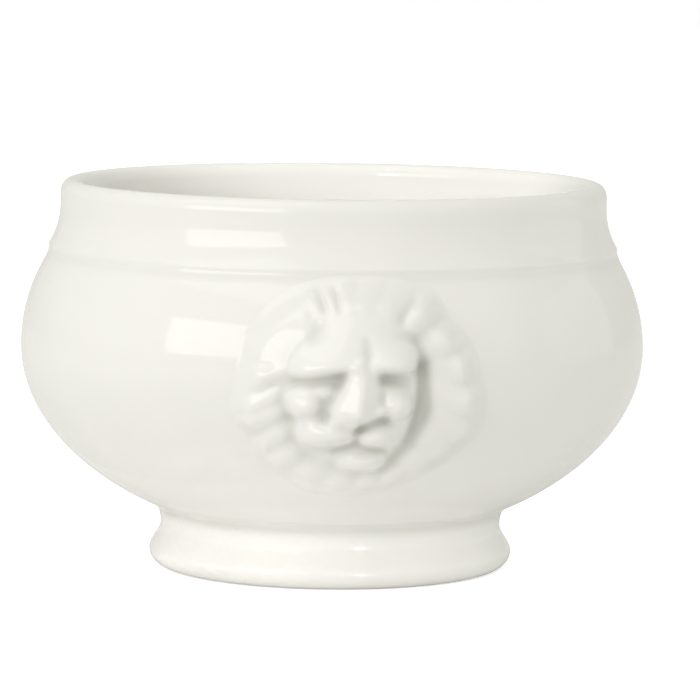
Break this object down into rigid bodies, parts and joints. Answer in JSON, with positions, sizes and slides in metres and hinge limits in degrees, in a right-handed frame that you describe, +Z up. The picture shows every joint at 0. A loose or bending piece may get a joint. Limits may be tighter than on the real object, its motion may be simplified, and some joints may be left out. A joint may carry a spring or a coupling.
{
  "type": "footed soup bowl",
  "caption": "Footed soup bowl in white glazed porcelain: round belly, upright collar with a rolled lip, flared foot ring and a lion mask on opposite sides.",
  "frame": {"origin": "middle of the foot's standing ring, on the table", "axes": "+Z up along the bowl's axis; the front lion mask faces -Y and the back one +Y; +X to the right seen from the front"},
  "size_m": [0.1206, 0.1398, 0.0748],
  "materials": {
    "glazed_body": "glossy white glaze over porcelain",
    "glazed_foot": "glossy white glaze, wiped off the flat ring that stands on the table",
    "glazed_masks": "glossy white glaze, a little thicker in the hollows of the relief"
  },
  "bodies": {
    "root": {"bowl_body": "glazed_body", "foot": "glazed_foot", "lion_mask_front": "glazed_masks", "lion_mask_back": "glazed_masks"}
  },
  "joints": []
}
